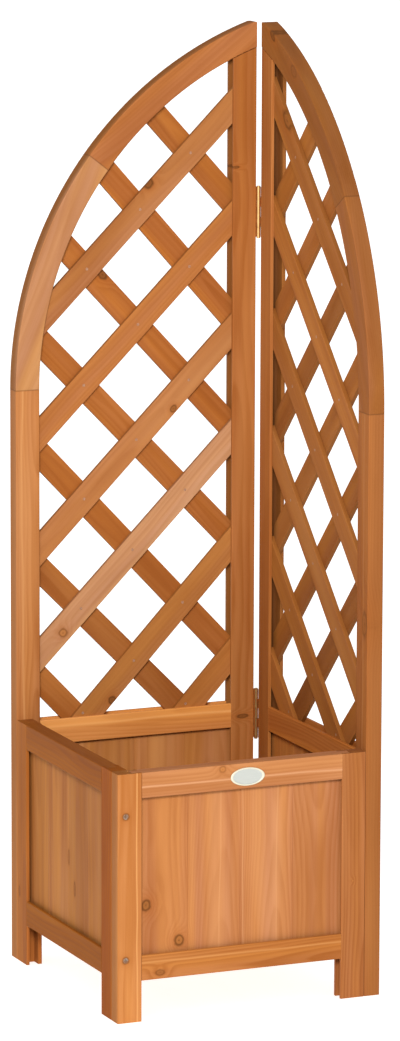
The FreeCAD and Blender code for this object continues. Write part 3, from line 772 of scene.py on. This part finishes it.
FRONT = Wall("front_left_stile", ALONG_X)
LEFT = Wall("left_front_stile", ALONG_Y)
REAR = Wall("rear_outer_post", ALONG_X)
WING = Wall("wing_outer_post", ALONG_Y)
print("front wall starts at", tuple(round(v, 4) for v in FRONT.corner))

# %% [markdown]
# ## Frame bars
# Stiles and posts have upright grain and rails have level grain. The photograph shows which
# bars are paler or redder, so each has a shade, as red, green and blue shares of the stain.
# The shades of the left wall and the wing are also darker as painted shade, because their show
# faces get less of the lamp.
# The two front screws have a ring of darker stain about their heads. It is a knot with no
# swerve, because a screw goes in long after the grain has grown.

# %% Shades and knots of the bars
SCREW_RING = (5.2, 1.0, 0.75, 0.30, 0.0)   # radius, stretch, darkness, heart, swerve
# A shade is the wood's own tone; for the left wall and the wing it is also painted shade.
# The darkness of the sawn edges is their stain and painted shade on the side faces.
BARS = {  # wall, grain, shade, darkness of the sawn edges, knots
    "front_left_stile": (FRONT, "upright", (0.98, 1.06, 1.08), 0.50,
                         [Knot(12.5, 94, *SCREW_RING), Knot(12.5, 308, *SCREW_RING)]),
    "front_right_stile": (FRONT, "upright", (0.63, 0.60, 0.66), 0.0,
                          [Knot(375, 178, 2.0, 1.2, 0.4, 0.9)]),
    "front_top_rail": (FRONT, "level", (0.90, 1.02, 1.50), 0.0,
                       [Knot(165, 365, 4.4, 1.2, 0.6, 0.8)]),
    "front_bottom_rail": (FRONT, "level", (0.75, 0.72, 0.63), 0.0,
                          [Knot(67, 71, 4.6, 1.6, 0.6, 0.1)]),
    "left_front_stile": (LEFT, "upright", (0.61, 0.45, 0.17), 0.0,
                         [Knot(-7, 69, 3.0, 2.6, 0.7, 0.0)]),
    "left_back_stile": (LEFT, "upright", (0.64, 0.56, 0.40), 0.0,
                        [Knot(361, 109, 3.2, 2.6, 0.6, 0.1), Knot(379, 67, 3.2, 2.2, 0.6, 0.1)]),
    "left_top_rail": (LEFT, "level", (0.54, 0.45, 0.24), 0.0, []),
    "left_bottom_rail": (LEFT, "level", (0.55, 0.455, 0.18), 0.0, []),
    "rear_outer_post": (REAR, "upright", (0.78, 0.80, 0.84), 0.40, []),
    "rear_hinge_post": (REAR, "upright", (0.71, 0.67, 0.58), 0.0,
                        [Knot(356, 1191, 6.0, 0.32, 1.15, 0.0), Knot(371, 346, 9.0, 0.36, 1.0, 0.0)]),
    "rear_mid_rail": (REAR, "level", (1.20, 1.27, 1.22), 0.0, []),
    "rear_bottom_rail": (REAR, "level", (0.80, 0.78, 0.70), 0.0, []),
    "wing_outer_post": (WING, "upright", (0.59, 0.53, 0.50), 0.30,
                        [Knot(10, 560, 8.0, 2.4, 0.6, 0.2)]),
    "wing_hinge_post": (WING, "upright", (0.70, 0.65, 0.54), 0.0, []),
    "wing_mid_rail": (WING, "level", (0.82, 0.71, 0.50), 0.0, []),
    "wing_bottom_rail": (WING, "level", (0.70, 0.66, 0.56), 0.0, []),
}
BAR_VEINS = {  # place across the grain and half width, in millimetres
    "front_top_rail": ((349.0, 1.5),), "front_left_stile": ((31.0, 1.0),),
    "rear_outer_post": ((11.0, 2.0),), "wing_outer_post": ((15.0, 2.0),),
    "front_bottom_rail": ((88.0, 1.5),), "rear_mid_rail": ((355.0, 2.0),)}
print(sum(len(bar[-1]) for bar in BARS.values()), "knots on", len(BARS), "bars")

# %% [markdown]
# ## Posts with their grooves
# The four trellis posts show the groove that holds the boards and the slats, so they get its
# painted shade. The groove runs along a post's inner edge, the one nearer the middle of the wall. The
# two outer posts end in a level joint under the arch, which shows as a thin dark line.

# %% Dress the bars
PANEL_MIDDLE = 195.0 * MM
ARCH_SPRING = 872.0 * MM
POST_SEAMS = ((UP * ARCH_SPRING, UP),)


def post_groove(wall, node):
    """Distance of a point from the post's inner edge, for a post left or right of the middle."""
    low, high = ((end - wall.corner).dot(wall.run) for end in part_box(node))
    if high < PANEL_MIDDLE:
        return lambda wood: high - wood.place.axis(1)
    return lambda wood: wood.place.axis(1) - low


for node, (wall, kind, shade, edge, knots) in BARS.items():
    along, across = wall.grain(kind)
    groove = post_groove(wall, node) if node.endswith("_post") else None
    seams = POST_SEAMS if node.endswith("_outer_post") else ()
    dress(node, timber(node, along, across, wall.corner, shade, knots=knots, wall=wall,
                       first=wall.middle(node, across), veins=BAR_VEINS.get(node, ()),
                       groove=groove, edge=edge, seams=seams))
print(len(BARS), "bars dressed")

# %% [markdown]
# ## Arch segments
# Nobody bends these bars. Each arch is sawn from two straight planks, so the grain runs
# straight along each segment's chord and the curve cuts across it. That is why the grain of
# the two segments changes direction at their joint. The groove follows the curve, so its
# distance from the inner edge is a radius less the inner radius.

# %% Arches
ARCH_RADIUS = 566.1 * MM
BAR_WIDTH = 38.0 * MM
ARCH_JOINTS = {"rear": 142.2, "wing": 147.0}    # degrees about the arch's centre
# Darkness of the arch edges: sawn-edge stain and painted shade.
ARCH_EDGES = {"rear": 0.85, "wing": 0.30}
ARCH_FIGURE = 0.5
# The wing's arch shades are darker partly as painted shade, as its show face gets less of the lamp.
ARCH_SHADES = {"rear_arch_lower": (0.76, 0.92, 1.32), "rear_arch_upper": (0.68, 0.65, 0.72),
               "wing_arch_lower": (0.54, 0.51, 0.50), "wing_arch_upper": (0.48, 0.45, 0.42)}
ARCH_KNOTS = {"wing_arch_upper": [Knot(350, 1391, 4.5, 2.2, 1.2, 0.0),
                                  Knot(64, 1216, 4.0, 0.8, 1.1, 0.0),
                                  Knot(273, 1345, 7.0, 1.6, 0.55, 0.1)]}


def arch_groove(wall):
    """Distance of a point from the arch's inner edge: its radius less the inner radius."""
    level = 0 if wall is REAR else 1

    def from_edge(wood):
        aside = wood.finish.point().axis(level) - (wall.corner[level] + ARCH_RADIUS)
        rise = wood.finish.point().axis(2) - ARCH_SPRING
        return (aside ** 2.0 + rise ** 2.0).root() - (ARCH_RADIUS - BAR_WIDTH)

    return from_edge


def arch_seams(wall, degrees):
    """The level joint at the spring and the joint plane through the arch's centre."""
    turn = math.radians(degrees)
    centre = wall.corner + wall.run * ARCH_RADIUS + UP * ARCH_SPRING
    normal = UP * math.cos(turn) - wall.run * math.sin(turn)
    return (UP * ARCH_SPRING, UP), (centre, normal)


for node, shade in ARCH_SHADES.items():
    side = node[:4]
    wall = REAR if side == "rear" else WING
    low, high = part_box(node)
    reach = high - low
    along = (wall.run * reach.dot(wall.run) + UP * reach.z).normalized()
    across = (UP * along.dot(wall.run) - wall.run * along.z).normalized()
    dress(node, timber(node, along, across, wall.corner, shade, figure=ARCH_FIGURE,
                       knots=ARCH_KNOTS.get(node, ()), wall=wall,
                       first=wall.middle(node, across), groove=arch_groove(wall),
                       edge=ARCH_EDGES[side], seams=arch_seams(wall, ARCH_JOINTS[side])))
print(len(ARCH_SHADES), "arch segments dressed")

# %% [markdown]
# ## Boards of the box
# A wall of the box is four boards joined edge to edge. They share one mesh, so the shader
# counts which board a point is on (the whole part of its distance along the wall divided by a
# board's width) and gives every board its own pith and tint.

# %% Boards
BOARDS_PER_WALL = 4
BOARD_FIGURE = 0.75
BOARD_SPREAD = 0.05
# The left and wing boards' shades are partly painted shade, as their show faces get less of the lamp.
BOARD_SHADES = {"front_boards": (FRONT, (0.83, 0.87, 1.08)), "left_boards": (LEFT, (0.73, 0.75, 0.70)),
                "rear_boards": (REAR, (0.82, 0.86, 0.90)), "wing_boards": (WING, (0.80, 0.77, 0.68))}
BOARD_KNOTS = {
    "front_boards": [Knot(48, 171, 7.0, 1.15, 1.1, 0.35), Knot(100.5, 113.5, 7.2, 1.1, 1.05, 0.50)],
    "left_boards": [Knot(185, 201, 4.0, 3.0, 0.45, 0.0), Knot(162, 157, 4.0, 3.0, 0.5, 0.0)],
}
BOARD_VEINS = {"front_boards": ((165.0, 1.0), (201.0, 0.8), (256.0, 0.9))}
for node, (wall, shade) in BOARD_SHADES.items():
    along, across = wall.grain("upright")
    first, last = ((end - wall.corner).dot(across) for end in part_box(node))
    dress(node, timber(node, along, across, wall.corner, shade, figure=BOARD_FIGURE,
                       knots=BOARD_KNOTS.get(node, ()), veins=BOARD_VEINS.get(node, ()), wall=wall,
                       first=first, step=(last - first) / BOARDS_PER_WALL, spread=BOARD_SPREAD))
print(len(BOARD_SHADES), "board walls dressed")

# %% [markdown]
# ## Lattice
# The rising slats lie in front and each is its own piece. The falling slats of a wall share a
# mesh, so the shader counts them by the distance across the grain, as it does the boards.
# Slats are ripped from thin stock and their edges are rough, so these drink much stain; their side faces
# also get painted shade.

# %% Lattice slats
SLAT_FIGURE = 0.6
# Darkness of the slat edges: sawn-edge stain and painted shade.
SLAT_EDGE = 0.75
SLAT_SPREAD = 0.07
FALLING_START = {"rear": 266.8 * MM, "wing": 285.2 * MM}    # lowest centre line at the middle
FALLING_PITCH = {"rear": 174.4 * MM, "wing": 169.1 * MM}
FALLING_TILT = {"rear": 46.7, "wing": 45.9}                 # degrees, mean of the seven
# The wing slats' shades are darker partly as painted shade, as their show faces get less of the lamp.
FALLING_SHADES = {"rear": (0.65, 0.56, 0.42), "wing": (0.58, 0.53, 0.42)}
RISING_TILTS = {"rear": (47.2, 46.4, 45.0, 45.0, 44.8, 44.8),
                "wing": (45.2, 45.1, 45.2, 45.5, 45.2, 45.2)}
RISING_SHADES = {
    "rear": ((0.78, 0.78, 0.76), (0.80, 0.86, 0.90), (0.85, 1.08, 1.62),
             (0.77, 0.82, 0.92), (0.72, 0.70, 0.69), (0.68, 0.71, 0.85)),
    "wing": ((0.65, 0.60, 0.49), (0.62, 0.59, 0.48), (0.65, 0.62, 0.52),
             (0.62, 0.59, 0.48), (0.66, 0.62, 0.52), (0.61, 0.58, 0.47))}
SLAT_KNOTS = {
    "rear_rising_slat_2": [Knot(157, 388, 5.4, 1.1, 1.1, 0.10)],
    "rear_rising_slat_3": [Knot(77, 498, 6.4, 1.0, 0.8, 0.75)],
    "rear_rising_slat_4": [Knot(257, 829, 4.6, 1.3, 0.9, 0.2)],
    "rear_rising_slat_6": [Knot(216, 1172, 6.2, 1.3, 1.15, 0.0)],
    "wing_rising_slat_6": [Knot(306, 1269, 9.0, 1.9, 1.0, 0.30)],
    "rear_falling_slats": [Knot(144, 1038, 6.2, 1.3, 1.15, 0.0)],
}


def dress_slat(node, wall, slope, shade, **counting):
    """Dress one slat, or the counted slats of one mesh; slope is the grain and across it."""
    dress(node, timber(node, *slope, wall.corner, shade, figure=SLAT_FIGURE,
                       knots=SLAT_KNOTS.get(node, ()), wall=wall, edge=SLAT_EDGE, **counting))


for side, wall in (("rear", REAR), ("wing", WING)):
    for count, shade in enumerate(RISING_SHADES[side]):
        node = "%s_rising_slat_%d" % (side, count + 1)
        slope = wall.slope(RISING_TILTS[side][count])
        dress_slat(node, wall, slope, shade, first=wall.middle(node, slope[1]))
    slope = wall.slope(-FALLING_TILT[side])
    lowest = wall.run * PANEL_MIDDLE + UP * FALLING_START[side]
    step = FALLING_PITCH[side] * slope[1].z
    dress_slat(side + "_falling_slats", wall, slope, FALLING_SHADES[side],
               first=lowest.dot(slope[1]) - step / 2, step=step, spread=SLAT_SPREAD)
print("lattice dressed")

# %% [markdown]
# ## Floor slats and dowels
# The floor is hidden from the camera but is seen from above, so its slats and cleats get rough
# timber. The dowels inside the arch joints are bare hardwood.

# %% Floor and dowels
FLOOR_SLATS = 5
FLOOR_SPREAD = 0.06
ROUGH_SHADE = (0.80, 0.76, 0.68)
DOWEL_SHADE = (1.1, 1.4, 1.8)
DOWEL_FIGURE = 0.4
low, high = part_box("floor_slats")
dress("floor_slats", timber("floor_slats", ALONG_Y, ALONG_X, low, ROUGH_SHADE,
                            step=(high.x - low.x) / FLOOR_SLATS, spread=FLOOR_SPREAD))
for node in ("floor_front_cleat", "floor_rear_cleat"):
    dress(node, timber(node, ALONG_X, UP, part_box(node)[0], ROUGH_SHADE))
for node in ("rear_arch_dowels", "wing_arch_dowels"):
    dress(node, timber(node, UP, ALONG_X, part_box(node)[0], DOWEL_SHADE, figure=DOWEL_FIGURE))
print("floor and dowels dressed")

# %% [markdown]
# ## Hardware
# The hinges are plain brass, dulled by handling: a metal whose roughness changes in soft
# patches. Screws are zinc plated, and the stain has crept over their heads. The nails were
# stained over with the slats, so only a little metal shines through. One recipe makes all
# three, because they differ only in colour, in how much is dulled and in the patches' size.

# %% Brass, steel and nails
METALS = {  # bright, dull, dull share, metallic, roughness, size of the patches
    "hinge_brass": ((0.84, 0.54, 0.22), (0.52, 0.29, 0.10), 0.35, 1.0, 0.30, 12 * MM),
    "screw_steel": ((0.40, 0.32, 0.26), (0.26, 0.11, 0.045), 0.50, 0.9, 0.38, 3 * MM),
    "nail_steel": ((0.46, 0.27, 0.18), (0.26, 0.11, 0.045), 0.62, 0.2, 0.45, 1.5 * MM),
}
SCRATCH_SCALES = (900.0, 900.0, 120.0)
SCRATCH_SEED = 2.0
CLOUD_GAIN = 2.2
WORN_ROUGHNESS = 0.18
SCRATCH_ROUGHNESS = 0.10
SCRATCH_STRENGTH = 0.3
SCRATCH_DEPTH = 0.05 * MM


def hardware(name, bright, dull, cover, metal, roughness, patch_size):
    """Metal that is clean in patches and dulled elsewhere; cover is the dull share."""
    finish = Finish(name)
    cloud = finish.noise(finish.point(), scale=1.0 / patch_size, detail=4.0)
    scratch = finish.noise(scaled(finish, finish.point(), SCRATCH_SCALES, SCRATCH_SEED), detail=2.0)
    worn = (cloud * CLOUD_GAIN + cover).ramp(0.0, 1.0)
    rough = worn * WORN_ROUGHNESS + scratch * SCRATCH_ROUGHNESS + roughness
    bump = finish.bump(scratch, SCRATCH_STRENGTH, SCRATCH_DEPTH)
    return finish.surface(Base_Color=finish.mix(worn, bright, dull), Metallic=metal,
                          Roughness=rough, Normal=bump)


brass, steel, nail_steel = (hardware(name, *recipe) for name, recipe in METALS.items())
for node in NODES:
    if "screws" in node:
        dress(node, steel)
    elif node.startswith("hinge_"):
        dress(node, brass)
    elif "nails" in node:
        dress(node, nail_steel)
print("hardware dressed")

# %% [markdown]
# ## The badge's plate
# An oval metal badge is pinned to the top rail. It is left blank. The plate is a surface of
# revolution squeezed into an ellipse: a profile runs from the middle of the back, round the
# rolled rim, over a raised border and down to a slightly domed field. Spinning the profile and
# scaling its two radii gives the oval with no boolean cuts.

# %% Badge plate
BADGE_SIDES = 128
BADGE_PROFILE = [  # share of the radius, share of the thickness
    (0.50, 0.00), (0.90, 0.00), (0.975, 0.02), (1.00, 0.25), (1.00, 0.55), (0.985, 0.80),
    (0.965, 0.94), (0.94, 1.00), (0.905, 0.98), (0.88, 0.86), (0.865, 0.70), (0.85, 0.62),
    (0.70, 0.66), (0.50, 0.70), (0.25, 0.73)]
BADGE_DOME = 0.74      # share of the thickness in the middle of the field


def oval_plate(name, low, high, profile, dome, sides):
    """Profile point (s, h) at angle t: x = s cos t, z = s sin t on an ellipse, y = -h deep."""
    middle = (low + high) / 2
    radius = (high - low) / 2
    s, h = np.array(profile).T
    t = np.linspace(0.0, 2.0 * math.pi, sides, endpoint=False)
    x = middle.x + radius.x * np.outer(s, np.cos(t))
    z = middle.z + radius.z * np.outer(s, np.sin(t))
    y = high.y - (high.y - low.y) * np.repeat(h[:, None], sides, axis=1)
    ring_points = np.stack([x, y, z], axis=2).reshape(-1, 3)
    back = [middle.x, high.y, middle.z]
    front = [middle.x, high.y - (high.y - low.y) * dome, middle.z]
    points = np.vstack([ring_points, back, front])
    row, side = np.meshgrid(np.arange(len(s) - 1), np.arange(sides), indexing="ij")
    beside = (side + 1) % sides
    quads = np.stack([row * sides + side, row * sides + beside,
                      (row + 1) * sides + beside, (row + 1) * sides + side], axis=2).reshape(-1, 4)
    around = np.arange(sides)
    ahead = (around + 1) % sides
    base = len(ring_points)
    top = (len(s) - 1) * sides
    back_fan = np.stack([np.full(sides, base), ahead, around], axis=1)
    front_fan = np.stack([np.full(sides, base + 1), top + around, top + ahead], axis=1)
    mesh = bpy.data.meshes.new(name)
    mesh.from_pydata(points.tolist(), [], quads.tolist() + back_fan.tolist() + front_fan.tolist())
    mesh.polygons.foreach_set("use_smooth", np.ones(len(mesh.polygons), dtype=bool))
    mesh.update()
    piece = bpy.data.objects.new(name, mesh)
    bpy.context.scene.collection.objects.link(piece)
    return piece


badge_low, badge_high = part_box("badge_plate")
badge = oval_plate("oval_badge", badge_low, badge_high, BADGE_PROFILE, BADGE_DOME, BADGE_SIDES)
print("badge", len(badge.data.polygons), "faces")

# %% [markdown]
# ## The badge's finish
# The field is satin silver, brushed from side to side, inside a border of cream enamel. One
# number tells them apart: a point's share of the oval's radius, from 0 in the middle to 1 at
# the rim. The finished plate takes the place of the flat one in the frame and rides on the box.

# %% Badge finish
DARK_SILVER = (0.40, 0.42, 0.39)
LIGHT_SILVER = (0.56, 0.57, 0.52)
CREAM = (0.60, 0.57, 0.44)
BORDER = (0.84, 0.88)       # shares of the radius where silver gives way to enamel
BRUSH_SCALES = (60.0, 900.0, 2600.0)
BRUSH_SEED = 4.0
BRUSH_SHARE = 0.6
BRUSH_ROUGHNESS = 0.08
BADGE_ROUGHNESS = 0.34
SILVER_METAL = 0.45
ENAMEL_METAL = 0.05


def badge_finish(low, high):
    """Cream enamel border round a satin silver field."""
    finish = Finish("badge_metal")
    middle = (low + high) / 2
    radius = (high - low) / 2
    across = (finish.point().axis(0) - middle.x) / radius.x
    upward = (finish.point().axis(2) - middle.z) / radius.z
    border = (across ** 2.0 + upward ** 2.0).root().ramp(*BORDER)
    brushed = finish.noise(scaled(finish, finish.point(), BRUSH_SCALES, BRUSH_SEED), detail=2.0)
    silver = finish.mix(brushed * BRUSH_SHARE + 0.5, DARK_SILVER, LIGHT_SILVER)
    return finish.surface(Base_Color=finish.mix(border, silver, CREAM),
                          Metallic=border.ramp(0.0, 1.0, SILVER_METAL, ENAMEL_METAL),
                          Roughness=BADGE_ROUGHNESS + brushed * BRUSH_ROUGHNESS)


badge.data.materials.append(badge_finish(badge_low, badge_high))
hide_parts("badge_plate")
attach(badge, "box")
print("badge dressed in", badge.data.materials[0].name)
